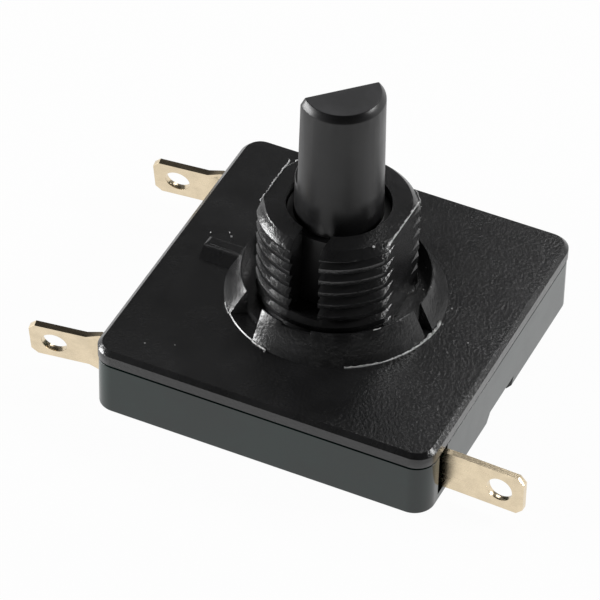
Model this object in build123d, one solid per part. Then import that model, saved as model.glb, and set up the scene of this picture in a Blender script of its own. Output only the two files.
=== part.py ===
from build123d import *
import os
from math import atan2, ceil, cos, degrees, radians, sin, sqrt, tan

os.makedirs("parts", exist_ok=True)

# Rotary switch for a panel: a square housing with a cover, a threaded bush, a
# D-shaft that turns a square detent cam and a contact spider, and three solder
# tags. Lengths are in millimetres and angles in degrees. X runs along the front
# wall, Y towards the back, Z up. The origin is at the middle of the underside.

# Housing
body_side = 27.0           # outer side of the cover plate
body_height = 6.0          # underside to the top of the cover plate
cover_thickness = 1.4      # cover plate, seam to top
cover_corner = 1.6         # corner radius of the plate, in plan
cover_edge = 0.35          # bevel of the plate's top edge
seam_height = 0.22         # groove between cover and base
seam_depth = 0.3
base_inset = 0.05          # the base's walls stand this far inside the plate's edge
base_edge = 0.3            # bevel of the base's bottom edge
wall = 1.4                 # base wall
floor_top = 0.9            # top of the base's floor above the underside
recess_depth = 0.25        # shallow recess in the underside
recess_margin = 2.3        # land left round that recess
notch_front = 2.7          # notch in the foot of the right wall, from the X axis
notch_rear = 2.0
notch_height = 0.95
notch_depth = 0.9
notch_slope = 0.9          # its front end slopes back by this length
notch_undercut = 0.5       # and its rear end leans over by this one
lip_length = 8.0           # cover's four locating tongues
lip_thickness = 0.9
lip_drop = 0.8
lip_clearance = 0.08

# Threaded bush, cone and lug, moulded with the cover
thread_major = 12.0        # across the thread's crests
thread_pitch = 1.13
thread_depth = 0.55
thread_flank = 33.0        # each flank's slope from square to the axis
thread_run_in = 0.5        # thread's first turn starts this far below the groove round the bush
bush_top = 14.8            # bush's top face above the underside
bush_chamfer = 0.6
bush_across_flats = 10.4   # flats face +X and -X
bush_bore = 7.8
keyway_width = 2.3         # slot in the front of the bush
keyway_bottom = 8.0
cone_base = 16.6           # diameter at the plate
cone_top = 14.2            # diameter at its rim
cone_height = 2.2
rim_land = 0.1             # flat left on the cone's rim
groove_depth = 1.6         # groove between the cone and the thread
cone_notch_wide = (-124.5, 2.2, 3.7)     # notch through the cone: angle, inner and outer width
cone_notch_narrow = (-9.3, 0.9, 1.0)
lug_end = 10.7             # anti-rotation lug, reach from the axis on -X
lug_width = 2.4
lug_height = 1.0
lug_edge = 0.35

# Rotor: shaft, journal, stop hub and cam in one piece
shaft_diameter = 6.3       # at its end
shaft_foot = 6.6           # at the journal: the moulded shaft tapers a little
shaft_top = 25.2
shaft_chamfer = 0.35       # across, at the shaft's end
shaft_chamfer_length = 0.55
shaft_flat_depth = 3.0     # how deep the D flat cuts into the shaft
shaft_flat_length = 8.0    # down from the shaft's top
shaft_flat_facing = 135.0  # where the flat faces at rest
journal_clearance = 0.05   # on the radius, in the bush's bore
journal_recess = 0.75      # journal's shoulder below the bush's top
hub_diameter = 8.8
stop_pocket_diameter = 11.8
stop_pocket_depth = 1.1
stop_clearance = 0.1
stop_lug_width = 28.0      # angle across the rotor's stop lug
stop_block_width = 60.0    # angle across the cover's stop block
travel = 270.0             # four positions, a quarter turn apart
thrust_diameter = 13.2     # flange that bears under the cover, round the stop pocket
thrust_height = 0.15
thrust_gap = 0.05
cam_across_flats = 12.6
cam_across_corners = 14.8

# Terminals
sheet = 0.5                # brass
tag_width = 3.4            # height of the upright tag
tag_inset = 3.3            # tag's middle from the plate's front or back side
tag_reach = 6.3            # beyond the cover plate's side
tag_hole = 2.0
tag_hole_inset = 1.9       # hole's centre from the tag's end
tag_clip = 0.5             # clipped corners at the tag's end
tag_straight = 0.8         # from the plate's side to the start of the twist
tag_twist = 1.0            # length over which the tag bends and twists
tag_lean_common = 2.0      # each blade is bent towards the front by this angle
tag_lean_one = 8.0
tag_lean_two = 6.0
tag_roll_common = 0.0      # and its upper edge is turned to the front by this one
tag_roll_one = 12.0
tag_roll_two = 12.0
tag_slot = 1.4             # width of the slot in the wall
tag_slot_clearance = 0.06  # behind and under the tag
fold_inner = 0.3           # inner radius of the fold inside the housing
fold_run_in = 1.1          # folded stretch goes this far past the peg, inwards
foot_clearance = 0.15      # between the folded foot and the spring's post
strip_width = 2.6
peg_diameter = 1.1         # moulded pegs that hold the strips
peg_head = 1.9
peg_head_height = 0.3
peg_clearance = 0.05
peg_wall_gap = 3.55        # peg's middle from the side wall
peg_inset = 1.7            # and from the tag's middle plane, inwards

# Contacts
contact_circle = 7.9       # radius of the switched contacts
contact_head = 2.6
contact_height = 0.4
contact_shank = 1.4
contact_clearance = 0.05   # round the shank
contact_gap = 0.05         # between fixed and moving contacts
spider_sheet = 0.25
spider_diameter = 8.4
spider_drop = 0.4          # how far the fingers are bent down
finger_width = 2.2
finger_bend_end = 6.7      # where the finger is level again, from the axis
finger_overhang = 1.1      # finger's end beyond the contact circle
finger_root_inset = 0.6    # fingers bend down inside the plate's edge
finger_corner = 0.7
tip_diameter = 1.8
tip_crown = 0.2            # sloping rim of the tip
tip_edge = 0.1             # straight edge behind it
spider_peg_circle = 2.75
pad_side = 2.0             # moulded pads under the fingers at rest

# Detent springs
leaf_thickness = 0.25
leaf_height = 1.4
leaf_gap = 0.02            # from the cam's flat
leaf_foot_gap = 0.1        # above the level of the cam's underside
leaf_crank = 0.55          # ends stand further out than the middle
leaf_flat = 4.6            # half the straight middle
post_wall_gap = 0.25       # between the posts and the side wall
post_length = 1.9
leaf_end_inset = 0.2
leaf_crank_gap = 0.4       # cranked part ends this far short of the posts
post_width = 1.6
post_top_gap = 0.2         # below the cover
leaf_slot_clearance = 0.08

bite = 0.1                 # fused pieces and cutters run this far into or past a face
turn_overlap = 0.02        # each turn of the thread runs this share into the next

# Levels and places that follow from the sizes above
seam = body_height - cover_thickness
half_side = body_side / 2
base_half = half_side - base_inset
cavity_half = base_half - wall
strip_top = floor_top + sheet
contact_top = strip_top + contact_height
tip_bottom = contact_top + contact_gap
tip_height = tip_crown + tip_edge
finger_bottom = tip_bottom + tip_height
spider_bottom = finger_bottom + spider_drop
cam_bottom = spider_bottom + spider_sheet
cam_top = seam - thrust_gap - thrust_height
groove_bottom = body_height + cone_height - groove_depth
thread_start = groove_bottom - thread_run_in
groove_outer = cone_top - 2 * rim_land
stop_roof = seam + stop_pocket_depth
hub_top = stop_roof - stop_clearance
journal_radius = bush_bore / 2 - journal_clearance
journal_top = bush_top - journal_recess
tag_top = floor_top + tag_width
tag_middle = floor_top + tag_width / 2
leaf_line = cam_across_flats / 2 + leaf_gap + leaf_thickness / 2
post_line = leaf_line + leaf_crank
post_top = seam - post_top_gap
leaf_bottom = cam_bottom + leaf_foot_gap
contact_place = contact_circle / sqrt(2)
sheet_half = sheet / 2
tag_offset = half_side - tag_inset
peg_reach = cavity_half - peg_wall_gap
peg_line = tag_offset - peg_inset
fold_end = peg_reach - fold_run_in
leaf_post_end = cavity_half - post_wall_gap
leaf_post_start = leaf_post_end - post_length


def block(x0, x1, y0, y1, z0, z1):
    """A box between two corners."""
    middle = ((x0 + x1) / 2, (y0 + y1) / 2, (z0 + z1) / 2)
    return Pos(*middle) * Box(abs(x1 - x0), abs(y1 - y0), abs(z1 - z0))


def rod(diameter, z0, z1, x=0.0, y=0.0):
    """An upright cylinder between two levels."""
    return Pos(x, y, (z0 + z1) / 2) * Cylinder(diameter / 2, z1 - z0)


def rounded_slab(half, corner, z0, z1):
    """A square slab with rounded upright corners, centred on the axis."""
    outline = RectangleRounded(2 * half, 2 * half, corner)
    return extrude(Pos(0, 0, z0) * outline, z1 - z0)


def ring_sector(inner, outer, middle_angle, width_angle, z0, z1):
    """A slice of a ring between two levels."""
    start = middle_angle - width_angle / 2
    reach = outer / cos(radians(width_angle / 4)) * 1.2
    corners = [(0, 0)]
    for step in range(3):
        angle = radians(start + width_angle * step / 2)
        corners.append((reach * cos(angle), reach * sin(angle)))
    wedge = extrude(Pos(0, 0, z0) * make_face(Polyline(*corners, close=True)), z1 - z0)
    return (rod(2 * outer, z0, z1) - rod(2 * inner, z0, z1)) & wedge


# ---------------------------------------------------------------- cover

def thread_turn():
    """One turn of the thread's groove: a vee swept along a right-hand helix."""
    root = thread_major / 2 - thread_depth
    mouth = thread_major / 2 + bite
    half = (mouth - root) * tan(radians(thread_flank))
    section = Polyline((root, 0), (mouth, -half), (mouth, half), close=True)
    path = Helix(thread_pitch, thread_pitch * (1 + turn_overlap), root)
    return sweep(make_face(Plane.XZ * section), path=path, is_frenet=True)


def threaded_rod():
    """The bush as a round bar with its chamfer and thread."""
    bush = rod(thread_major, body_height - bite, bush_top)
    bush = chamfer(bush.edges().group_by(Axis.Z)[-1], bush_chamfer)
    groove = thread_turn()
    turns = ceil((bush_top - thread_start) / thread_pitch)
    for turn in range(turns):
        bush -= Pos(0, 0, thread_start + turn * thread_pitch) * groove
    return bush


def cone_notch(angle, inner_width, outer_width):
    """Cutter for a notch across the cone, as deep as the groove."""
    inner = groove_outer / 2 - bite
    outer = cone_base / 2 + bite
    plan = Polyline(
        (inner, -inner_width / 2), (outer, -outer_width / 2),
        (outer, outer_width / 2), (inner, inner_width / 2), close=True,
    )
    cut = extrude(Pos(0, 0, groove_bottom) * make_face(plan), groove_depth + bite)
    return Rot(0, 0, angle) * cut


def bush_and_cone():
    """Threaded bush with its two flats, the cone and the groove between them."""
    thread = thread_major / 2
    bush = threaded_rod()
    bush -= block(bush_across_flats / 2, half_side, -thread, thread, groove_bottom, bush_top)
    bush -= block(-half_side, -bush_across_flats / 2, -thread, thread, groove_bottom, bush_top)
    cone = Pos(0, 0, body_height + cone_height / 2) * Cone(cone_base / 2, cone_top / 2, cone_height)
    cone -= rod(groove_outer, groove_bottom, body_height + cone_height)
    for notch in (cone_notch_wide, cone_notch_narrow):
        cone -= cone_notch(*notch)
    return cone + bush


def anti_rotation_lug():
    """A low bar on the plate, from the cone towards -X."""
    lug = block(
        -lug_end, -cone_top / 2, -lug_width / 2, lug_width / 2,
        body_height - bite, body_height + lug_height,
    )
    top = lug.edges().group_by(Axis.Z)[-1]
    return fillet(top, lug_edge)


def cover_tongues():
    """Four tongues under the plate that locate it inside the base's walls."""
    outer = cavity_half - lip_clearance
    tongue = block(
        outer - lip_thickness, outer, -lip_length / 2, lip_length / 2,
        seam - lip_drop, seam + bite,
    )
    return [Rot(0, 0, 90 * turn) * tongue for turn in range(4)]


def cover_bush():
    """Cover plate with cone, lug and threaded bush."""
    plate = rounded_slab(half_side, cover_corner, seam + seam_height, body_height)
    plate = chamfer(plate.edges().group_by(Axis.Z)[-1], cover_edge)
    plate += rounded_slab(
        half_side - seam_depth, cover_corner - seam_depth, seam, seam + seam_height
    )
    cover = plate + bush_and_cone() + anti_rotation_lug()
    for tongue in cover_tongues():
        cover += tongue
    cover -= rod(bush_bore, seam - bite, bush_top + bite)
    cover -= rod(stop_pocket_diameter, seam - bite, stop_roof)
    block_inner = hub_diameter / 2 + stop_clearance
    cover += ring_sector(
        block_inner, stop_pocket_diameter / 2 + bite, stop_block_angle(),
        stop_block_width, seam, stop_roof + bite,
    )
    cover -= block(
        -keyway_width / 2, keyway_width / 2, -thread_major, 0,
        keyway_bottom, bush_top + bite,
    )
    return cover


# ---------------------------------------------------------------- rotor

def stop_lug_angle():
    """Where the rotor's stop lug points at rest."""
    return -90.0


def stop_block_angle():
    """Middle of the cover's stop block, clear of the lug at both ends."""
    lug_sweep_middle = stop_lug_angle() + travel / 2
    return lug_sweep_middle + 180.0


def d_shaft():
    """The shaft above the journal, with its taper, its flat and its chamfered end."""
    foot = journal_top - bite
    middle = (foot + shaft_top) / 2
    shaft = Pos(0, 0, middle) * Cone(shaft_foot / 2, shaft_diameter / 2, shaft_top - foot)
    rim = shaft.edges().group_by(Axis.Z)[-1]
    top = shaft.faces().sort_by(Axis.Z)[-1]
    shaft = chamfer(rim, shaft_chamfer, shaft_chamfer_length, reference=top)
    flat_at = shaft_diameter / 2 - shaft_flat_depth
    cut = block(
        flat_at, shaft_diameter, -shaft_diameter, shaft_diameter,
        shaft_top - shaft_flat_length, shaft_top + bite,
    )
    return shaft - Rot(0, 0, shaft_flat_facing) * cut


def detent_cam():
    """Square cam with its corners turned off round the axis."""
    square = block(
        -cam_across_flats / 2, cam_across_flats / 2,
        -cam_across_flats / 2, cam_across_flats / 2, cam_bottom, cam_top,
    )
    return square & rod(cam_across_corners, cam_bottom, cam_top)


def spider_peg_angles():
    """Angles of the two pegs that carry the contact spider."""
    return (90, 270)


def rotor_shaft():
    """Shaft, journal, stop hub, thrust face and cam in one moulding."""
    rotor = detent_cam()
    rotor += rod(thrust_diameter, cam_top, cam_top + thrust_height)
    rotor += rod(hub_diameter, cam_top + thrust_height, hub_top)
    rotor += ring_sector(
        hub_diameter / 2 - bite, stop_pocket_diameter / 2 - stop_clearance,
        stop_lug_angle(), stop_lug_width, cam_top + thrust_height, hub_top,
    )
    rotor += rod(2 * journal_radius, hub_top, journal_top)
    rotor += d_shaft()
    for angle in spider_peg_angles():
        x = spider_peg_circle * cos(radians(angle))
        y = spider_peg_circle * sin(radians(angle))
        rotor += rod(peg_diameter, spider_bottom, cam_bottom, x, y)
        rotor += rod(peg_head, spider_bottom - peg_head_height, spider_bottom, x, y)
    return rotor


# ---------------------------------------------------------------- base

def leaf_posts():
    """Four slotted posts that hold the ends of the detent springs."""
    posts = []
    slot = leaf_thickness + 2 * leaf_slot_clearance
    for side in (-1, 1):
        for row in (-1, 1):
            y = row * post_line
            post = block(
                side * leaf_post_start, side * leaf_post_end,
                y - post_width / 2, y + post_width / 2, floor_top - bite, post_top,
            )
            post -= block(
                side * (leaf_post_start - bite), side * (leaf_post_end + bite),
                y - slot / 2, y + slot / 2, leaf_bottom, post_top + bite,
            )
            posts.append(post)
    return posts


def tag_slot_cutter(side, row):
    """The slot in the side wall where a tag comes out, open to the front."""
    rear = row * tag_offset + sheet_half + tag_slot_clearance
    return block(
        side * (cavity_half - bite), side * (half_side + bite),
        rear - tag_slot, rear, floor_top - tag_slot_clearance, seam + bite,
    )


def strip_peg(side, row):
    """A peg with its formed head, standing in the floor."""
    x = side * peg_reach
    y = row * peg_line
    peg = rod(peg_diameter, floor_top - bite, strip_top, x, y)
    return peg + rod(peg_head, strip_top, strip_top + peg_head_height, x, y)


def wall_notch():
    """Notch in the foot of the right wall, sloping in front and undercut behind."""
    outline = Polyline(
        (-notch_front, -bite), (-notch_front, 0), (-notch_front + notch_slope, notch_height),
        (notch_rear + notch_undercut, notch_height), (notch_rear, 0), (notch_rear, -bite),
        close=True,
    )
    cut = extrude(Plane.YZ * make_face(outline), notch_depth + bite)
    return Pos(base_half - notch_depth, 0, 0) * cut


def base_housing():
    """The tray: walls, floor, posts, pegs, pads and slots."""
    tray = rounded_slab(base_half, cover_corner, 0, seam)
    tray = chamfer(tray.edges().group_by(Axis.Z)[0], base_edge)
    tray -= block(-cavity_half, cavity_half, -cavity_half, cavity_half, floor_top, seam + bite)
    recess = base_half - recess_margin
    tray -= block(-recess, recess, -recess, recess, -bite, recess_depth)
    tray -= wall_notch()
    for post in leaf_posts():
        tray += post
    for side, row in terminal_sides():
        tray -= tag_slot_cutter(side, row)
        tray += strip_peg(side, row)
    for angle in finger_angles():
        pad = block(
            contact_circle - pad_side / 2, contact_circle + pad_side / 2,
            -pad_side / 2, pad_side / 2, floor_top - bite, contact_top,
        )
        tray += Rot(0, 0, angle) * pad
    return tray


# ---------------------------------------------------------------- terminals

def terminal_sides():
    """Side wall (+1 right) and row (+1 back) of the common, first and second tag."""
    return [(1, -1), (-1, -1), (-1, 1)]


def contact_places():
    """Centres of the three fixed contacts: common, one and two."""
    return [(0.0, 0.0), (-contact_place, -contact_place), (-contact_place, contact_place)]


def tag_plane(side, row, lean, roll, run):
    """Plane across a tag, a run along its blade from the start of the twist.

    Its Z points out along the blade and its Y up the blade's width.
    """
    out = Vector(side * cos(radians(lean)), -sin(radians(lean)), 0)
    front = Vector(out.Y, -out.X, 0) * side
    up = Vector(0, 0, 1) * cos(radians(roll)) + front * sin(radians(roll))
    start = Vector(side * (half_side + tag_straight), row * tag_offset, tag_middle)
    return Plane(origin=start + out * run, x_dir=up.cross(out), z_dir=out)


def tag_run(lean, roll):
    """Length of the blade from the start of its twist to its end."""
    end_half = (tag_width / 2 - tag_clip) * sin(radians(roll)) + sheet_half * cos(radians(roll))
    overhang = end_half * sin(radians(lean))
    return (tag_reach - tag_straight - overhang) / cos(radians(lean))


def tag_blade(side, row, lean, roll):
    """The upright tag outside the wall: twisted, clipped and drilled."""
    start = half_side + tag_straight
    y = row * tag_offset
    root = block(
        side * (cavity_half - bite), side * start,
        y - sheet_half, y + sheet_half, floor_top, tag_top,
    )
    section = Rectangle(sheet, tag_width)
    upright = tag_plane(side, row, 0, 0, 0)
    flat_start = tag_plane(side, row, lean, roll, tag_twist)
    twist = loft([upright * section, flat_start * section], ruled=True)
    length = tag_run(lean, roll) - tag_twist
    blade = Pos(0, 0, length / 2) * Box(sheet, tag_width, length)
    blade = chamfer(blade.edges().filter_by(Axis.X).sort_by(Axis.Z)[-2:], tag_clip)
    blade -= Pos(0, 0, length - tag_hole_inset) * Rot(0, 90, 0) * Cylinder(tag_hole / 2, 4 * sheet)
    return root + twist + flat_start * blade


def folded_root(side, row):
    """Inside the wall the tag turns through a right angle on to the floor."""
    outer = row * (tag_offset + sheet_half)
    inner = row * (tag_offset - sheet_half)
    outer_bend = fold_inner + sheet
    foot_end = row * (post_line + post_width / 2 + foot_clearance)
    with BuildSketch(Plane.YZ) as section:
        with BuildLine():
            Polyline((outer, tag_top), (outer, floor_top + outer_bend))
            RadiusArc(
                (outer, floor_top + outer_bend),
                (outer - row * outer_bend, floor_top), row * outer_bend,
            )
            Polyline(
                (outer - row * outer_bend, floor_top), (foot_end, floor_top),
                (foot_end, strip_top), (inner - row * fold_inner, strip_top),
            )
            RadiusArc(
                (inner - row * fold_inner, strip_top),
                (inner, strip_top + fold_inner), -row * fold_inner,
            )
            Polyline((inner, strip_top + fold_inner), (inner, tag_top), (outer, tag_top))
        make_face()
    root = Pos(fold_end, 0, 0) * extrude(section.sketch, cavity_half - fold_end)
    return root if side > 0 else mirror(root, Plane.YZ)


def floor_strip(points):
    """A flat strip with round ends along a few points on the floor."""
    strip = None
    for first, last in zip(points, points[1:]):
        run = Vector(last[0] - first[0], last[1] - first[1])
        angle = degrees(atan2(run.Y, run.X))
        middle = ((first[0] + last[0]) / 2, (first[1] + last[1]) / 2, 0)
        bar = Pos(*middle) * Rot(0, 0, angle) * SlotCenterToCenter(run.length, strip_width)
        strip = bar if strip is None else strip + bar
    return extrude(Pos(0, 0, floor_top) * strip, sheet)


def terminal(side, row, lean, roll, route, contact):
    """Tag, fold, floor strip and the holes for its peg and its contact."""
    body = tag_blade(side, row, lean, roll) + folded_root(side, row) + floor_strip(route)
    hole = peg_diameter + 2 * peg_clearance
    body -= rod(hole, floor_top - bite, strip_top + bite, side * peg_reach, row * peg_line)
    shank = contact_shank + 2 * contact_clearance
    body -= rod(shank, floor_top - bite, strip_top + bite, *contact)
    return body


def terminal_common():
    """Right tag, with a strip that runs to the middle of the floor."""
    side, row = terminal_sides()[0]
    start = (side * peg_reach, row * peg_line)
    turn = (contact_place / 2, row * peg_line)
    route = [start, turn, (0, 0)]
    return terminal(side, row, tag_lean_common, tag_roll_common, route, contact_places()[0])


def terminal_switched(number):
    """Left tags, each with a short strip to its own contact."""
    side, row = terminal_sides()[number]
    lean = tag_lean_one if number == 1 else tag_lean_two
    roll = tag_roll_one if number == 1 else tag_roll_two
    contact = contact_places()[number]
    start = (side * peg_reach, row * peg_line)
    return terminal(side, row, lean, roll, [start, contact], contact)


def contact_rivet(place):
    """Fixed contact: flat head on the strip, shank through it down to the floor."""
    head = rod(contact_head, strip_top, contact_top, *place)
    return head + rod(contact_shank, floor_top, strip_top, *place)


# ---------------------------------------------------------------- moving contact

def finger_angles():
    """Angles of the spider's two fingers at rest, over the bare right half."""
    return (-45.0, 45.0)


def spider_finger(angle):
    """One sprung finger: level, bent down, then level again."""
    root = spider_diameter / 2 - finger_root_inset
    inner = root - finger_root_inset
    end = contact_circle + finger_overhang
    points = [
        (inner, spider_bottom), (root, spider_bottom),
        (finger_bend_end, finger_bottom), (end, finger_bottom),
        (end, finger_bottom + spider_sheet), (finger_bend_end, finger_bottom + spider_sheet),
        (root, spider_bottom + spider_sheet), (inner, spider_bottom + spider_sheet),
    ]
    section = Plane.XZ * make_face(Polyline(*points, close=True))
    finger = extrude(section, finger_width / 2, both=True)
    corners = finger.edges().filter_by(Axis.Z).sort_by(Axis.X)[-2:]
    return Rot(0, 0, angle) * chamfer(corners, finger_corner)


def tip_places():
    """Centres of the moving contact tips: centre, front and back."""
    places = [(0.0, 0.0)]
    for angle in finger_angles():
        places.append((contact_circle * cos(radians(angle)), contact_circle * sin(radians(angle))))
    return places


def contact_spider():
    """Sprung bronze plate under the rotor, with two fingers."""
    plate = rod(spider_diameter, spider_bottom, cam_bottom)
    for angle in finger_angles():
        plate += spider_finger(angle)
    for angle in spider_peg_angles():
        x = spider_peg_circle * cos(radians(angle))
        y = spider_peg_circle * sin(radians(angle))
        plate -= rod(peg_diameter + 2 * peg_clearance, spider_bottom - bite, cam_bottom + bite, x, y)
    return plate


def spider_tip(number):
    """A contact button welded under the spider, its rim sloping to a flat crown."""
    seat = spider_bottom if number == 0 else finger_bottom
    button = rod(tip_diameter, tip_bottom, seat)
    button = chamfer(button.edges().group_by(Axis.Z)[0], tip_crown)
    return Pos(*tip_places()[number], 0) * button


# ---------------------------------------------------------------- detent springs

def detent_spring(row):
    """Leaf spring on edge, cranked out to its posts at both ends."""
    end = leaf_post_end - leaf_end_inset
    crank_x = leaf_post_start - leaf_crank_gap
    outer = leaf_line + leaf_crank
    points = [
        (-end, outer), (-crank_x, outer), (-leaf_flat, leaf_line),
        (leaf_flat, leaf_line), (crank_x, outer), (end, outer),
    ]
    half = leaf_thickness / 2
    upper = [(x, y + half) for x, y in points]
    lower = [(x, y - half) for x, y in reversed(points)]
    outline = Polyline(*upper, *lower, close=True)
    leaf = extrude(Pos(0, 0, leaf_bottom) * make_face(outline), leaf_height)
    return leaf if row > 0 else mirror(leaf, Plane.XZ)


def sub_parts():
    """Every separate piece of the switch, by name."""
    common, one, two = contact_places()
    return {
        "base_housing": base_housing(),
        "cover_bush": cover_bush(),
        "rotor_shaft": rotor_shaft(),
        "terminal_common": terminal_common(),
        "terminal_one": terminal_switched(1),
        "terminal_two": terminal_switched(2),
        "contact_rivet_common": contact_rivet(common),
        "contact_rivet_one": contact_rivet(one),
        "contact_rivet_two": contact_rivet(two),
        "contact_spider": contact_spider(),
        "spider_tip_centre": spider_tip(0),
        "spider_tip_front": spider_tip(1),
        "spider_tip_back": spider_tip(2),
        "detent_spring_front": detent_spring(-1),
        "detent_spring_back": detent_spring(1),
    }


for name, solid in sub_parts().items():
    export_step(solid, os.path.join("parts", name + ".step"))
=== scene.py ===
from math import atan2, cos, degrees, radians, sin

import bpy
from bpy.props import FloatProperty, FloatVectorProperty, PointerProperty
from mathutils import Matrix, Vector


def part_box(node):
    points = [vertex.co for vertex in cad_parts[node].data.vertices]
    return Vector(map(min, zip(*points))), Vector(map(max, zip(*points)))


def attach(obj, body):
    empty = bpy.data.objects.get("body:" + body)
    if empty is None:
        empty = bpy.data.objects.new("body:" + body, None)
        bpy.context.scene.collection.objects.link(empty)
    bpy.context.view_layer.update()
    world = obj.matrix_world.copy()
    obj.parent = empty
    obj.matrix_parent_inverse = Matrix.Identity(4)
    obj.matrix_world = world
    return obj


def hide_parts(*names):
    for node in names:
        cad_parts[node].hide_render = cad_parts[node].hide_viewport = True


bl_info = {
    "name": "Panel rotary switch",
    "version": (1, 0, 0),
    "blender": (4, 5, 0),
    "location": "3D View > Sidebar > Switch",
    "description": "Dresses the solids of a panel rotary switch: edges, moulding flash and finishes",
    "category": "Object",
}

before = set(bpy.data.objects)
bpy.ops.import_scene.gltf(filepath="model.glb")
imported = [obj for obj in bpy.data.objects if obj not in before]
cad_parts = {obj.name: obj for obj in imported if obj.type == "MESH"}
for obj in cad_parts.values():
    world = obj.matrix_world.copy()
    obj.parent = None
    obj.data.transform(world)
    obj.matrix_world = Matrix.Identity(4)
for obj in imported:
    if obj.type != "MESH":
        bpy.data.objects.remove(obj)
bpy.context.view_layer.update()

MM = 0.001
BUSH_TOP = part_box("cover_bush")[1].z / MM    # levels, in millimetres above the underside
SHAFT_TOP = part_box("rotor_shaft")[1].z / MM
PLATE_TOP = 6.0


# ---------------------------------------------------------------- settings

class SwitchSizes(bpy.types.PropertyGroup):
    """Sizes of the detail that is added to the solids."""

    plastic_edge: FloatProperty(
        name="Plastic edge", description="Rounding of the mouldings' sharp edges",
        default=0.09 * MM, min=0.01 * MM, subtype="DISTANCE", unit="LENGTH", precision=5,
    )
    brass_edge: FloatProperty(
        name="Brass edge", description="Rounding of the stamped tags' edges",
        default=0.05 * MM, min=0.01 * MM, subtype="DISTANCE", unit="LENGTH", precision=5,
    )
    flash_height: FloatProperty(
        name="Flash height", description="How far the thin moulding flash stands up",
        default=0.13 * MM, min=0.01 * MM, subtype="DISTANCE", unit="LENGTH", precision=5,
    )
    flash_thickness: FloatProperty(
        name="Flash thickness", description="Thickness of the moulding flash",
        default=0.07 * MM, min=0.01 * MM, subtype="DISTANCE", unit="LENGTH", precision=5,
    )


class SwitchColours(bpy.types.PropertyGroup):
    """Colours of the switch's own pieces."""

    cover: FloatVectorProperty(
        name="Cover", description="Moulded cover and bush", subtype="COLOR", size=3,
        default=(0.017, 0.017, 0.0175), min=0, max=1,
    )
    base: FloatVectorProperty(
        name="Base", description="Moulded base below the seam", subtype="COLOR", size=3,
        default=(0.001, 0.011, 0.009), min=0, max=1,
    )
    # Near white, far lighter than the black plastic it is moulded from: painted highlight for the
    # glints on the flash's thin edges and on the crumbs.
    flash: FloatVectorProperty(
        name="Flash", description="Thin flash and crumbs left by the mould", subtype="COLOR", size=3,
        default=(0.92, 0.92, 0.91), min=0, max=1,
    )
    shaft: FloatVectorProperty(
        name="Shaft", description="Moulded D-shaft", subtype="COLOR", size=3,
        default=(0.010, 0.010, 0.0105), min=0, max=1,
    )
    brass: FloatVectorProperty(
        name="Brass", description="Stamped solder tags", subtype="COLOR", size=3,
        default=(0.80, 0.67, 0.475), min=0, max=1,
    )
    silver: FloatVectorProperty(
        name="Silver", description="Faces of the contacts", subtype="COLOR", size=3,
        default=(0.78, 0.78, 0.75), min=0, max=1,
    )
    bronze: FloatVectorProperty(
        name="Bronze", description="Sprung contact spider", subtype="COLOR", size=3,
        default=(0.62, 0.38, 0.20), min=0, max=1,
    )
    spring: FloatVectorProperty(
        name="Spring steel", description="Detent springs", subtype="COLOR", size=3,
        default=(0.42, 0.43, 0.45), min=0, max=1,
    )


class StageSettings(bpy.types.PropertyGroup):
    """Camera and studio light round the switch."""

    azimuth: FloatProperty(
        name="Azimuth", description="Camera's place round the switch",
        default=radians(24.30), subtype="ANGLE", unit="ROTATION",
    )
    elevation: FloatProperty(
        name="Elevation", description="Camera's height above the horizon",
        default=radians(42.07), subtype="ANGLE", unit="ROTATION",
    )
    roll: FloatProperty(
        name="Roll", description="Camera's turn about its own line of sight",
        default=radians(1.44), subtype="ANGLE", unit="ROTATION",
    )
    distance: FloatProperty(
        name="Distance", description="Camera to the foot of the switch",
        default=346.2 * MM, subtype="DISTANCE", unit="LENGTH",
    )
    lens: FloatProperty(name="Lens", description="Focal length in millimetres", default=280.3)
    floor_colour: FloatVectorProperty(
        name="Floor", description="Pale studio floor", subtype="COLOR", size=3,
        default=(0.86, 0.86, 0.86), min=0, max=1,
    )
    right_power: FloatProperty(
        name="Right light", description="Power of the soft light on the right, in watts",
        default=0.5, min=0,
    )
    left_power: FloatProperty(
        name="Left light", description="Power of the low soft light on the left, in watts",
        default=1.4, min=0,
    )
    back_power: FloatProperty(
        name="Back light", description="Power of the small high light behind, in watts",
        default=0.034, min=0,
    )
    low_sky: FloatProperty(
        name="Low sky", description="Brightness of the backdrop's dark bands",
        default=0.02, min=0, max=1,
    )
    ceiling: FloatProperty(
        name="Ceiling", description="Brightness of the backdrop's dim upper band",
        default=0.2, min=0, max=1,
    )


# ---------------------------------------------------------------- helpers

# A copy's points nearer than this, in metres, are merged, and faces that meet under this
# angle, in degrees, are joined.
MERGE_DISTANCE = 2e-6
FLAT_ANGLE = 0.4


def leave_edit():
    """Object mode with nothing selected."""
    if bpy.context.object and bpy.context.object.mode != "OBJECT":
        bpy.ops.object.mode_set(mode="OBJECT")
    bpy.ops.object.select_all(action="DESELECT")


def take(piece):
    """Makes a piece the only selected and active one."""
    leave_edit()
    piece.select_set(True)
    bpy.context.view_layer.objects.active = piece


def name_new(name):
    """Names the primitive just added and returns it."""
    piece = bpy.context.object
    piece.name = name
    piece.data.name = name
    return piece


def settle(piece):
    """Puts a piece's place into its mesh, with its faces outwards."""
    take(piece)
    bpy.ops.object.transform_apply(location=True, rotation=True, scale=True)
    bpy.ops.object.mode_set(mode="EDIT")
    bpy.ops.mesh.select_all(action="SELECT")
    bpy.ops.mesh.remove_doubles(threshold=1e-7)
    bpy.ops.mesh.normals_make_consistent(inside=False)
    bpy.ops.object.mode_set(mode="OBJECT")


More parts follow.
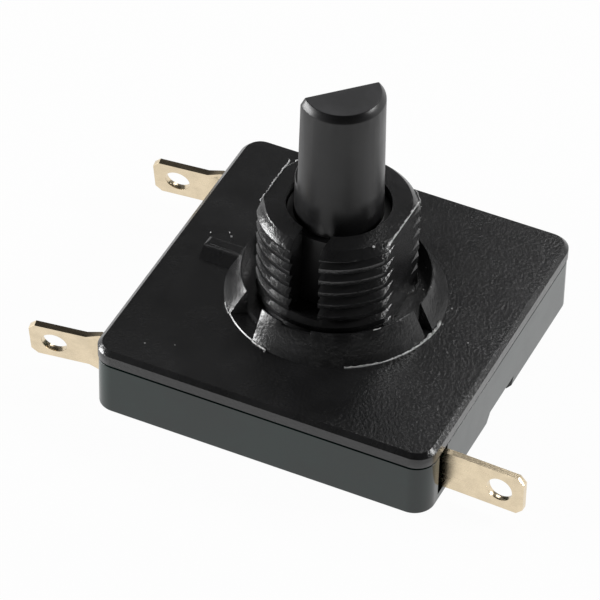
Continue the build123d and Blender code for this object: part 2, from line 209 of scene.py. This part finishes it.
def smooth(piece, angle=40):
    """Smooth shading up to an angle between faces, with the large faces kept flat."""
    take(piece)
    bpy.ops.object.shade_smooth_by_angle(angle=radians(angle))
    bpy.ops.object.modifier_add(type="WEIGHTED_NORMAL")
    weighting = piece.modifiers[-1]
    weighting.keep_sharp = True
    bpy.ops.object.modifier_apply(modifier=weighting.name)


def copy_of(node, name):
    """A merged copy of a solid's mesh, with its flat faces joined, to be worked on."""
    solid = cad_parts[node]
    mesh = solid.data.copy()
    mesh.name = name
    piece = bpy.data.objects.new(name, mesh)
    bpy.context.scene.collection.objects.link(piece)
    mesh.materials.clear()
    take(piece)
    bpy.ops.object.mode_set(mode="EDIT")
    bpy.ops.mesh.select_all(action="SELECT")
    bpy.ops.mesh.remove_doubles(threshold=MERGE_DISTANCE)
    bpy.ops.mesh.dissolve_limited(angle_limit=radians(FLAT_ANGLE))
    bpy.ops.object.mode_set(mode="OBJECT")
    return piece


def cut(piece, cutter):
    """Takes a cutter's shape out of a piece, exactly, and deletes the cutter."""
    take(piece)
    bpy.ops.object.modifier_add(type="BOOLEAN")
    knife = piece.modifiers[-1]
    knife.operation = "DIFFERENCE"
    knife.solver = "EXACT"
    knife.object = cutter
    bpy.ops.object.modifier_apply(modifier=knife.name)
    take(cutter)
    bpy.ops.object.delete()


def round_edges(piece, width, angle=32, segments=2):
    """Rounds a piece's sharp edges."""
    take(piece)
    bpy.ops.object.modifier_add(type="BEVEL")
    rounding = piece.modifiers[-1]
    rounding.width = width
    rounding.segments = segments
    rounding.limit_method = "ANGLE"
    rounding.angle_limit = radians(angle)
    rounding.use_clamp_overlap = True
    rounding.miter_outer = "MITER_ARC"
    bpy.ops.object.modifier_apply(modifier=rounding.name)


def dress(piece, finish):
    """Gives a piece or a solid one finish."""
    piece.data.materials.clear()
    piece.data.materials.append(finish)


def stand_for(piece, node, body):
    """A reworked copy takes the place of its solid."""
    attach(piece, body)
    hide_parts(node)


# ---------------------------------------------------------------- finishes

def new_finish(name):
    """An empty material with its shader and an object coordinate."""
    finish = bpy.data.materials.new(name)
    finish.use_nodes = True
    nodes = finish.node_tree.nodes
    nodes.clear()
    output = nodes.new("ShaderNodeOutputMaterial")
    shader = nodes.new("ShaderNodeBsdfPrincipled")
    place = nodes.new("ShaderNodeTexCoord")
    finish.node_tree.links.new(shader.outputs["BSDF"], output.inputs["Surface"])
    return finish, shader, place


def noise(tree, place, scale, detail=3.0, roughness=0.55):
    """Noise in the piece's own space; its scale is per metre."""
    grain = tree.nodes.new("ShaderNodeTexNoise")
    grain.inputs["Scale"].default_value = scale
    grain.inputs["Detail"].default_value = detail
    grain.inputs["Roughness"].default_value = roughness
    tree.links.new(place.outputs["Object"], grain.inputs["Vector"])
    return grain.outputs["Fac"]


def ramp(tree, source, low, high, start=0.35, end=0.65):
    """Maps a grey value to a range of colours."""
    band = tree.nodes.new("ShaderNodeValToRGB")
    band.color_ramp.elements[0].position = start
    band.color_ramp.elements[1].position = end
    band.color_ramp.elements[0].color = (*low, 1)
    band.color_ramp.elements[1].color = (*high, 1)
    tree.links.new(source, band.inputs["Fac"])
    return band.outputs["Color"]


def grey_ramp(tree, source, low, high):
    """The same with plain numbers."""
    return ramp(tree, source, (low,) * 3, (high,) * 3)


def bump(tree, source, distance, below=None):
    """A bump from a grey value, over another bump where there is one."""
    relief = tree.nodes.new("ShaderNodeBump")
    relief.inputs["Strength"].default_value = 1.0
    relief.inputs["Distance"].default_value = distance
    tree.links.new(source, relief.inputs["Height"])
    if below is not None:
        tree.links.new(below, relief.inputs["Normal"])
    return relief.outputs["Normal"]


def shade(colour, factor):
    """A colour made lighter or darker."""
    return tuple(min(1.0, channel * factor) for channel in colour)


# Scales of the plastic's mottle, of its duller patches and of its finest grain, per metre,
# the mottle's darkest and lightest shade, and the finest grain's height against the coarser
# one's, where a finish gives none.
MOTTLE_SCALE = 260
PATCH_SCALE = 420
FINE_SCALE = 4200
MOTTLE_SHADES = (0.8, 1.3)
FINE_SHARE = 0.35


def moulded_plastic(name, colour, rough, grain_scale, grain_height, ior=1.5, fine_height=None):
    """Moulded plastic: a little mottled, with a fine spark-eroded grain."""
    finish, shader, place = new_finish(name)
    tree = finish.node_tree
    if fine_height is None:
        fine_height = grain_height * FINE_SHARE
    mottle = noise(tree, place, MOTTLE_SCALE, detail=4)
    tint = ramp(tree, mottle, *(shade(colour, factor) for factor in MOTTLE_SHADES))
    tree.links.new(tint, shader.inputs["Base Color"])
    patch = noise(tree, place, PATCH_SCALE, detail=5, roughness=0.65)
    tree.links.new(grey_ramp(tree, patch, *rough), shader.inputs["Roughness"])
    coarse = noise(tree, place, grain_scale, detail=4, roughness=0.6)
    fine = noise(tree, place, FINE_SCALE, detail=3, roughness=0.6)
    relief = bump(tree, coarse, grain_height)
    relief = bump(tree, fine, fine_height, below=relief)
    tree.links.new(relief, shader.inputs["Normal"])
    shader.inputs["IOR"].default_value = ior
    return finish


# Scales of the metal's stains and dents, per metre, the heights of its dents and rolling
# lines, and how far those lines are drawn out along X.
STAIN_SCALE = 900
DENT_SCALE = 700
DENT_HEIGHT = 0.012 * MM
LINE_HEIGHT = 0.0012 * MM
LINE_STRETCH = (0.08, 1.0, 1.0)


def sheet_metal(name, colour, dark, rough, line_scale):
    """Rolled and stamped sheet: faint rolling lines, stains and small dents."""
    finish, shader, place = new_finish(name)
    tree = finish.node_tree
    shader.inputs["Metallic"].default_value = 1.0
    stain = noise(tree, place, STAIN_SCALE, detail=5, roughness=0.6)
    tint = ramp(tree, stain, shade(colour, dark), colour, start=0.28, end=0.6)
    tree.links.new(tint, shader.inputs["Base Color"])
    along = tree.nodes.new("ShaderNodeMapping")
    along.inputs["Scale"].default_value = LINE_STRETCH
    tree.links.new(place.outputs["Object"], along.inputs["Vector"])
    lines = tree.nodes.new("ShaderNodeTexNoise")
    lines.inputs["Scale"].default_value = line_scale
    lines.inputs["Detail"].default_value = 3
    tree.links.new(along.outputs["Vector"], lines.inputs["Vector"])
    tree.links.new(grey_ramp(tree, lines.outputs["Fac"], *rough), shader.inputs["Roughness"])
    dents = noise(tree, place, DENT_SCALE, detail=2)
    relief = bump(tree, dents, DENT_HEIGHT)
    relief = bump(tree, lines.outputs["Fac"], LINE_HEIGHT, below=relief)
    tree.links.new(relief, shader.inputs["Normal"])
    return finish


# ---------------------------------------------------------------- pieces

# Lengths in the tables below are in millimetres and angles in degrees.

# Notches in the cone: angle, width inside and outside. Their floor lies just above the plate.
NOTCHES = ((-124.5, 2.2, 3.7), (-9.3, 0.9, 1.0))
NOTCH_FLOOR = PLATE_TOP + 0.1
NOTCH_REACH = (6.95, 8.5)
KNIFE_HEIGHT = 2.0


def notch_knife(angle, inner_width, outer_width):
    """A flaring block that takes a notch's floor down."""
    inner, outer = NOTCH_REACH
    middle = ((inner + outer) / 2 * MM, 0, (NOTCH_FLOOR + KNIFE_HEIGHT / 2) * MM)
    size = ((outer - inner) * MM, MM, KNIFE_HEIGHT * MM)
    leave_edit()
    bpy.ops.mesh.primitive_cube_add(size=1, location=middle, scale=size)
    knife = name_new("notch_knife")
    bpy.ops.object.transform_apply(location=True, rotation=True, scale=True)
    bpy.ops.object.mode_set(mode="EDIT")
    bpy.ops.mesh.select_all(action="DESELECT")
    for x, width in ((inner, inner_width), (outer, outer_width)):
        bpy.ops.object.mode_set(mode="OBJECT")
        for vertex in knife.data.vertices:
            vertex.select = abs(vertex.co.x - x * MM) < 0.1 * MM
        bpy.ops.object.mode_set(mode="EDIT")
        bpy.ops.transform.resize(value=(1, width, 1), center_override=(x * MM, 0, 0))
        bpy.ops.mesh.select_all(action="DESELECT")
    bpy.ops.mesh.select_all(action="SELECT")
    bpy.ops.transform.rotate(value=radians(-angle), orient_axis="Z", center_override=(0, 0, 0))
    bpy.ops.object.mode_set(mode="OBJECT")
    return knife


# The lug's top: its reach along X, half its width, its levels, and the share of its width kept.
LUG_REACH = (-10.8, -7.15)
LUG_HALF = 1.25
LUG_LEVELS = (PLATE_TOP + 0.3, PLATE_TOP + 1.05)
LUG_RIDGE = 0.4


def narrow_lug(cover):
    """Draws the lug's top in to a ridge, so that its sides slope."""
    take(cover)
    bpy.ops.object.mode_set(mode="EDIT")
    bpy.ops.mesh.select_all(action="DESELECT")
    bpy.ops.object.mode_set(mode="OBJECT")
    for vertex in cover.data.vertices:
        x, y, z = (length / MM for length in vertex.co)
        in_reach = LUG_REACH[0] < x < LUG_REACH[1] and abs(y) < LUG_HALF
        vertex.select = in_reach and LUG_LEVELS[0] < z < LUG_LEVELS[1]
    bpy.ops.object.mode_set(mode="EDIT")
    bpy.ops.transform.resize(value=(1, LUG_RIDGE, 1), center_override=(0, 0, 0))
    bpy.ops.object.mode_set(mode="OBJECT")


class SWITCH_OT_cover(bpy.types.Operator):
    """Cover with its threaded bush, edges rounded"""

    bl_idname = "switch.cover"
    bl_label = "Threaded cover"

    def execute(self, context):
        sizes, colours = context.scene.switch_sizes, context.scene.switch_colours
        cover = copy_of("cover_bush", "threaded_cover")
        for notch in NOTCHES:
            cut(cover, notch_knife(*notch))
        narrow_lug(cover)
        round_edges(cover, sizes.plastic_edge)
        smooth(cover)
        dress(cover, moulded_plastic(
            "cover_plastic", colours.cover, rough=(0.19, 0.25), grain_scale=1500,
            grain_height=0.004 * MM, ior=1.55, fine_height=0.03 * MM,
        ))
        stand_for(cover, "cover_bush", "housing")
        return {"FINISHED"}


# Thin flash round the axis, and bright lines on the cone's and the bush's rims, all painted near
# white as the highlights on these edges:
# radius, level, first and last angle, share of the full height and thickness.
FLASH_ARCS = (
    (8.32, PLATE_TOP, -62, -30, 0.8),
    (8.33, PLATE_TOP, -31, -12, 1.1),
    (8.34, PLATE_TOP, -13, 2, 1.8),
    (8.32, PLATE_TOP, -146, -136, 0.8),
    (8.32, PLATE_TOP, -113, -103, 0.9),
    (7.08, PLATE_TOP + 2.16, -44, -38, 0.6),
    (5.42, BUSH_TOP - 0.05, 118, 152, 0.9),
    (5.98, BUSH_TOP - 0.62, 31, 46, 0.8),
)

# Burrs along the bush's flats, painted near white as the highlight on their edges: X, first and last
# Y, level.
FLASH_RUNS = (
    (5.19, -2.7, 2.7, BUSH_TOP - 0.12),
    (-5.19, -2.4, 2.6, BUSH_TOP - 0.10),
)

# How finely a whole ring and a run are divided, and how ragged flash and crumbs are,
# against their own size.
RING_DIVISIONS = 300
RUN_CUTS = 60
FLASH_RAGGEDNESS = 0.4
CRUMB_RAGGEDNESS = 0.16

# First seed of each kind.
ARC_SEED, RUN_SEED, CRUMB_SEED = 1, 40, 70

# Loose crumbs of plastic, painted near white as their glints: middle and size.
CRUMBS = (
    ((8.52, 0.15, 6.05), 0.10), ((8.44, 2.03, 6.05), 0.09), ((-1.95, -8.3, 6.05), 0.09),
    ((4.95, 1.29, 7.0), 0.10), ((5.4, 0.9, 7.3), 0.08), ((5.9, 0.5, 8.05), 0.09),
    ((6.6, 0.8, 8.2), 0.07), ((7.0, 1.3, 8.2), 0.07),
    # Not a crumb: a painted glint on the bush's top front edge.
    ((4.33, -3.39, BUSH_TOP), 0.17),
    ((-9.5, 1.9, 6.2), 0.13), ((-9.9, 2.4, 6.05), 0.09), ((-11.2, 1.8, 6.03), 0.09),
    ((-10.12, -11.29, 6.0), 0.07), ((-8.07, -10.51, 6.0), 0.07), ((10.98, -0.81, 6.0), 0.08),
    ((5.2, 2.99, 14.0), 0.07), ((5.2, 2.99, 12.9), 0.06), ((5.2, 2.99, 11.8), 0.07),
)


def keep_arc(ring, start, end):
    """Deletes the part of a ring that lies outside an arc."""
    take(ring)
    bpy.ops.object.mode_set(mode="EDIT")
    bpy.ops.mesh.select_all(action="DESELECT")
    bpy.ops.object.mode_set(mode="OBJECT")
    for vertex in ring.data.vertices:
        angle = degrees(atan2(vertex.co.y, vertex.co.x))
        vertex.select = not start <= angle <= end
    bpy.ops.object.mode_set(mode="EDIT")
    bpy.ops.mesh.delete(type="VERT")


def crinkle(piece, height, seed, thickness):
    """Pulls a line up into a thin ragged fin and gives it a wall."""
    bpy.ops.mesh.select_all(action="SELECT")
    bpy.ops.mesh.extrude_region_move(TRANSFORM_OT_translate={"value": (0, 0, height)})
    bpy.ops.transform.vertex_random(offset=height * FLASH_RAGGEDNESS, uniform=1.0, seed=seed)
    take(piece)
    bpy.ops.object.modifier_add(type="SOLIDIFY")
    wall = piece.modifiers[-1]
    wall.thickness = thickness
    wall.offset = 0
    bpy.ops.object.modifier_apply(modifier=wall.name)
    settle(piece)


def flash_arc(number, height, thickness):
    """Flash along one arc of the cover."""
    radius, level, start, end, share = FLASH_ARCS[number]
    leave_edit()
    bpy.ops.mesh.primitive_circle_add(
        vertices=RING_DIVISIONS, radius=radius * MM, location=(0, 0, level * MM),
    )
    ring = name_new("flash_arc_%d" % number)
    bpy.ops.object.transform_apply(location=True, rotation=True, scale=True)
    keep_arc(ring, start, end)
    crinkle(ring, height * share, number + ARC_SEED, thickness * share)
    return ring


def flash_run(number, height, thickness):
    """A straight burr along a flat's top edge."""
    x, first, last, level = FLASH_RUNS[number]
    leave_edit()
    half = (last - first) / 2 * MM
    middle = (x * MM, (first + last) / 2 * MM, level * MM)
    bpy.ops.mesh.primitive_plane_add(size=2 * half, location=middle)
    burr = name_new("flash_run_%d" % number)
    bpy.ops.object.transform_apply(location=True, rotation=True, scale=True)
    bpy.ops.object.mode_set(mode="EDIT")
    bpy.ops.mesh.select_all(action="DESELECT")
    bpy.ops.object.mode_set(mode="OBJECT")
    for vertex in burr.data.vertices:
        vertex.select = vertex.co.x > x * MM
    bpy.ops.object.mode_set(mode="EDIT")
    bpy.ops.mesh.delete(type="VERT")
    bpy.ops.mesh.select_all(action="SELECT")
    bpy.ops.transform.translate(value=(half, 0, 0))
    bpy.ops.mesh.subdivide(number_cuts=RUN_CUTS)
    crinkle(burr, height, number + RUN_SEED, thickness)
    return burr


def crumb(number):
    """A small lump of plastic."""
    place, size = CRUMBS[number]
    leave_edit()
    bpy.ops.mesh.primitive_ico_sphere_add(
        subdivisions=2, radius=size / 2 * MM, location=[length * MM for length in place],
    )
    lump = name_new("crumb_%d" % number)
    bpy.ops.object.mode_set(mode="EDIT")
    bpy.ops.mesh.select_all(action="SELECT")
    bpy.ops.transform.vertex_random(
        offset=size * CRUMB_RAGGEDNESS * MM, uniform=1.0, seed=number + CRUMB_SEED,
    )
    settle(lump)
    return lump


class SWITCH_OT_flash(bpy.types.Operator):
    """Thin moulding flash and crumbs round the cone and the bush, painted near white as their
    highlights
    """

    bl_idname = "switch.flash"
    bl_label = "Moulding flash"

    def execute(self, context):
        sizes, colours = context.scene.switch_sizes, context.scene.switch_colours
        height, thickness = sizes.flash_height, sizes.flash_thickness
        pieces = [flash_arc(number, height, thickness) for number in range(len(FLASH_ARCS))]
        pieces += [flash_run(number, height, thickness) for number in range(len(FLASH_RUNS))]
        pieces += [crumb(number) for number in range(len(CRUMBS))]
        leave_edit()
        for piece in pieces:
            piece.select_set(True)
        context.view_layer.objects.active = pieces[0]
        bpy.ops.object.join()
        flash = name_new("moulding_flash")
        # Its near-white colour is painted highlight: the glints that the black flash catches, not
        # the flash's own colour.
        dress(flash, moulded_plastic(
            "flash_painted_glint", colours.flash, rough=(0.25, 0.4), grain_scale=6000,
            grain_height=0.002 * MM,
        ))
        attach(flash, "housing")
        return {"FINISHED"}


class SWITCH_OT_base(bpy.types.Operator):
    """Base tray with its edges rounded"""

    bl_idname = "switch.base"
    bl_label = "Base"

    def execute(self, context):
        sizes, colours = context.scene.switch_sizes, context.scene.switch_colours
        base = copy_of("base_housing", "base_tray")
        round_edges(base, sizes.plastic_edge)
        smooth(base)
        dress(base, moulded_plastic(
            "base_plastic", colours.base, rough=(0.16, 0.24), grain_scale=1100,
            grain_height=0.003 * MM, ior=1.56,
        ))
        stand_for(base, "base_housing", "housing")
        return {"FINISHED"}


# The shaft's edges are rounded a little wider than the others, and down to an angle that
# takes in its shallow chamfer. Its cut end is the faces that look up, no further down than
# this depth, and is this many times as light as its sides.
SHAFT_EDGE_SHARE = 1.3
SHAFT_EDGE_ANGLE = 25
END_FACE_UP = 0.95
END_FACE_DEPTH = 0.3
END_FACE_SHADE = 5


class SWITCH_OT_shaft(bpy.types.Operator):
    """Rotor with its D-shaft, edges rounded"""

    bl_idname = "switch.shaft"
    bl_label = "Shaft"

    def execute(self, context):
        sizes, colours = context.scene.switch_sizes, context.scene.switch_colours
        shaft = copy_of("rotor_shaft", "d_shaft")
        round_edges(shaft, sizes.plastic_edge * SHAFT_EDGE_SHARE, angle=SHAFT_EDGE_ANGLE)
        smooth(shaft)
        dress(shaft, moulded_plastic(
            "shaft_plastic", colours.shaft, rough=(0.30, 0.36), grain_scale=900,
            grain_height=0.003 * MM, ior=1.45,
        ))
        shaft.data.materials.append(moulded_plastic(
            "shaft_end_plastic", shade(colours.shaft, END_FACE_SHADE), rough=(0.4, 0.55),
            grain_scale=700, grain_height=0.01 * MM, ior=1.45,
        ))
        end_level = (SHAFT_TOP - END_FACE_DEPTH) * MM
        for face in shaft.data.polygons:
            if face.normal.z > END_FACE_UP and face.center.z > end_level:
                face.material_index = 1
        stand_for(shaft, "rotor_shaft", "rotor")
        return {"FINISHED"}


class SWITCH_OT_tags(bpy.types.Operator):
    """Three brass solder tags with their edges rounded"""

    bl_idname = "switch.tags"
    bl_label = "Solder tags"

    def execute(self, context):
        sizes, colours = context.scene.switch_sizes, context.scene.switch_colours
        brass = sheet_metal(
            "tag_brass", colours.brass, dark=0.84, rough=(0.23, 0.28), line_scale=2600,
        )
        for which in ("common", "one", "two"):
            tag = copy_of("terminal_" + which, "tag_" + which)
            round_edges(tag, sizes.brass_edge)
            smooth(tag)
            dress(tag, brass)
            stand_for(tag, "terminal_" + which, "housing")
        return {"FINISHED"}


class SWITCH_OT_inner(bpy.types.Operator):
    """Finishes for the contacts and springs inside the housing"""

    bl_idname = "switch.inner"
    bl_label = "Inner pieces"

    def execute(self, context):
        colours = context.scene.switch_colours
        silver = sheet_metal(
            "contact_silver", colours.silver, dark=0.8, rough=(0.22, 0.36), line_scale=2200,
        )
        bronze = sheet_metal(
            "spider_bronze", colours.bronze, dark=0.8, rough=(0.25, 0.4), line_scale=2400,
        )
        steel = sheet_metal(
            "spring_steel", colours.spring, dark=0.82, rough=(0.28, 0.42), line_scale=3000,
        )
        for node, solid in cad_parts.items():
            if node.startswith(("contact_rivet", "spider_tip")):
                dress(solid, silver)
            elif node == "contact_spider":
                dress(solid, bronze)
            elif node.startswith("detent_spring"):
                dress(solid, steel)
        return {"FINISHED"}


# ---------------------------------------------------------------- stage

# Level of the point on the axis that the camera is set up for, and the camera's shift to the
# right and up from there, in millimetres.
AIM_HEIGHT = 4.0
CAMERA_RIGHT = -2.638
CAMERA_UP = 0.861

# Soft lamps, in metres: place, point aimed at, width and height.
LAMPS = {
    "light_right": ((0.27, 0.125, 0.16), (0, 0, 0.008), 0.10, 0.06),
    "light_left": ((-0.32, -0.10, 0.07), (0, 0, 0.010), 0.20, 0.10),
    "light_back": ((0.018, 0.104, 0.116), (0.010, 0.003, 0.006), 0.06, 0.02),
}

# How much of the floor shows as plain white: the rest is lit, and takes the shadow. Its side
# is in metres.
FLOOR_WHITE = 0.97
FLOOR_SIDE = 3.0

# The backdrop's bands: how much higher they lie behind the switch, how they close up on the
# horizon on the camera's side, and the dim one's fading towards its upper edge.
SWEEP_RISE = 0.32
FRONT_CLOSING = 1.5
CEILING_FADE = 0.75


def place_camera(stage):
    """Camera with a long lens, turned a little about its line of sight."""
    azimuth, elevation, roll = stage.azimuth, stage.elevation, stage.roll
    back = Vector((sin(azimuth) * cos(elevation), -cos(azimuth) * cos(elevation), sin(elevation)))
    right = Vector((cos(azimuth), sin(azimuth), 0))
    up = back.cross(right)
    right, up = right * cos(roll) + up * sin(roll), up * cos(roll) - right * sin(roll)
    aim = Vector((0, 0, AIM_HEIGHT * MM))
    place = aim + back * stage.distance + right * CAMERA_RIGHT * MM + up * CAMERA_UP * MM
    leave_edit()
    bpy.ops.object.camera_add(location=(0, 0, 0))
    camera = bpy.context.object
    camera.name = "studio_camera"
    turn = Matrix((right, up, back)).transposed().to_4x4()
    camera.matrix_world = Matrix.Translation(place) @ turn
    camera.data.lens = stage.lens
    camera.data.sensor_width = 36
    camera.data.clip_start = 0.01
    camera.data.clip_end = 20
    camera.data.dof.use_dof = False
    bpy.context.scene.camera = camera


def soft_light(name, power):
    """One soft rectangular light that points at the switch."""
    place, aim, width, height = LAMPS[name]
    leave_edit()
    bpy.ops.object.light_add(type="AREA", location=place)
    lamp = bpy.context.object
    lamp.name = name
    lamp.data.shape = "RECTANGLE"
    lamp.data.size, lamp.data.size_y = width, height
    lamp.data.energy = power
    lamp.visible_camera = False
    direction = Vector(aim) - Vector(place)
    lamp.rotation_euler = direction.to_track_quat("-Z", "Y").to_euler()


def number_node(tree, operation, *values):
    """A calculation on numbers or on other nodes' outputs."""
    node = tree.nodes.new("ShaderNodeMath")
    node.operation = operation
    for socket, value in zip(node.inputs, values):
        if isinstance(value, (int, float)):
            socket.default_value = value
        else:
            tree.links.new(value, socket)
    return node


def ray_share(tree, *outputs):
    """1 where the ray is of one of these kinds."""
    path = tree.nodes.new("ShaderNodeLightPath")
    total = path.outputs[outputs[0]]
    for name in outputs[1:]:
        total = number_node(tree, "MAXIMUM", total, path.outputs[name]).outputs["Value"]
    return total


def floor_finish(colour):
    """Pale floor that shows white and keeps a part of its shadows."""
    finish = bpy.data.materials.new("studio_floor")
    finish.use_nodes = True
    tree = finish.node_tree
    tree.nodes.clear()
    output = tree.nodes.new("ShaderNodeOutputMaterial")
    matt = tree.nodes.new("ShaderNodeBsdfDiffuse")
    matt.inputs["Color"].default_value = (*colour, 1)
    white = tree.nodes.new("ShaderNodeEmission")
    blend = tree.nodes.new("ShaderNodeMixShader")
    seen = ray_share(tree, "Is Camera Ray", "Is Glossy Ray", "Is Transmission Ray")
    share = number_node(tree, "MULTIPLY", seen, FLOOR_WHITE)
    tree.links.new(share.outputs["Value"], blend.inputs["Fac"])
    tree.links.new(matt.outputs["BSDF"], blend.inputs[1])
    tree.links.new(white.outputs["Emission"], blend.inputs[2])
    tree.links.new(blend.outputs["Shader"], output.inputs["Surface"])
    return finish


def studio_world(low, ceiling, azimuth):
    """Bands that lie higher at the back: white at the horizon, dark, dim and dark again."""
    world = bpy.data.worlds.new("studio_world")
    bpy.context.scene.world = world
    world.use_nodes = True
    tree = world.node_tree
    tree.nodes.clear()
    output = tree.nodes.new("ShaderNodeOutputWorld")
    sky = tree.nodes.new("ShaderNodeBackground")
    place = tree.nodes.new("ShaderNodeTexCoord")
    height = tree.nodes.new("ShaderNodeSeparateXYZ")
    tree.links.new(place.outputs["Generated"], height.inputs["Vector"])
    behind = tree.nodes.new("ShaderNodeVectorMath")
    behind.operation = "DOT_PRODUCT"
    behind.inputs[1].default_value = (-sin(azimuth), cos(azimuth), 0)
    tree.links.new(place.outputs["Generated"], behind.inputs[0])
    sweep = number_node(tree, "MAXIMUM", behind.outputs["Value"], 0)
    front = number_node(tree, "MINIMUM", behind.outputs["Value"], 0)
    steepness = number_node(tree, "MULTIPLY_ADD", front.outputs["Value"], -FRONT_CLOSING, 1)
    lifted = number_node(tree, "MULTIPLY", height.outputs["Z"], steepness.outputs["Value"])
    level = number_node(
        tree, "MULTIPLY_ADD", sweep.outputs["Value"], -SWEEP_RISE, lifted.outputs["Value"],
    )
    bands = (
        (0.05, 1.0), (0.14, low), (0.28, low),
        (0.37, ceiling), (0.52, ceiling * CEILING_FADE), (0.7, low),
    )
    band = tree.nodes.new("ShaderNodeValToRGB")
    stops = band.color_ramp.elements
    for number, (position, strength) in enumerate(bands):
        stop = stops[number] if number < 2 else stops.new(position)
        stop.position = position
        stop.color = (strength, strength, strength, 1)
    tree.links.new(level.outputs["Value"], band.inputs["Fac"])
    tree.links.new(band.outputs["Color"], sky.inputs["Color"])
    tree.links.new(sky.outputs["Background"], output.inputs["Surface"])


class SWITCH_OT_stage(bpy.types.Operator):
    """Pale floor, soft side lights, white backdrop and the camera"""

    bl_idname = "switch.stage"
    bl_label = "Stage"

    def execute(self, context):
        stage = context.scene.switch_stage
        place_camera(stage)
        leave_edit()
        bpy.ops.mesh.primitive_plane_add(size=FLOOR_SIDE, location=(0, 0, 0))
        floor = name_new("studio_floor")
        dress(floor, floor_finish(stage.floor_colour))
        soft_light("light_right", stage.right_power)
        soft_light("light_left", stage.left_power)
        soft_light("light_back", stage.back_power)
        studio_world(stage.low_sky, stage.ceiling, stage.azimuth)
        context.scene.view_settings.view_transform = "Standard"
        return {"FINISHED"}


# ---------------------------------------------------------------- panel

STEPS = (
    ("switch.stage", "Stage"),
    ("switch.cover", "Threaded cover"),
    ("switch.flash", "Moulding flash"),
    ("switch.base", "Base"),
    ("switch.shaft", "Shaft"),
    ("switch.tags", "Solder tags"),
    ("switch.inner", "Inner pieces"),
)


class SWITCH_PT_panel(bpy.types.Panel):
    """Buttons for each group of pieces, with the sizes and colours"""

    bl_idname = "SWITCH_PT_panel"
    bl_label = "Rotary switch"
    bl_space_type = "VIEW_3D"
    bl_region_type = "UI"
    bl_category = "Switch"

    def draw(self, context):
        for group in ("switch_sizes", "switch_colours", "switch_stage"):
            settings = getattr(context.scene, group)
            box = self.layout.box()
            for name in settings.__annotations__:
                box.prop(settings, name)
        for operator, label in STEPS:
            self.layout.operator(operator, text=label)


CLASSES = (
    SwitchSizes, SwitchColours, StageSettings,
    SWITCH_OT_stage, SWITCH_OT_cover, SWITCH_OT_flash, SWITCH_OT_base, SWITCH_OT_shaft,
    SWITCH_OT_tags, SWITCH_OT_inner, SWITCH_PT_panel,
)


def register():
    """Adds the classes and their settings."""
    for each in CLASSES:
        bpy.utils.register_class(each)
    bpy.types.Scene.switch_sizes = PointerProperty(type=SwitchSizes)
    bpy.types.Scene.switch_colours = PointerProperty(type=SwitchColours)
    bpy.types.Scene.switch_stage = PointerProperty(type=StageSettings)


def unregister():
    """Takes them away again."""
    del bpy.types.Scene.switch_stage
    del bpy.types.Scene.switch_colours
    del bpy.types.Scene.switch_sizes
    for each in reversed(CLASSES):
        bpy.utils.unregister_class(each)


def main():
    """Dresses the switch and sets the stage."""
    register()
    bpy.ops.switch.stage()
    bpy.ops.switch.cover()
    bpy.ops.switch.flash()
    bpy.ops.switch.base()
    bpy.ops.switch.shaft()
    bpy.ops.switch.tags()
    bpy.ops.switch.inner()
    leave_edit()


if __name__ == "__main__":
    main()
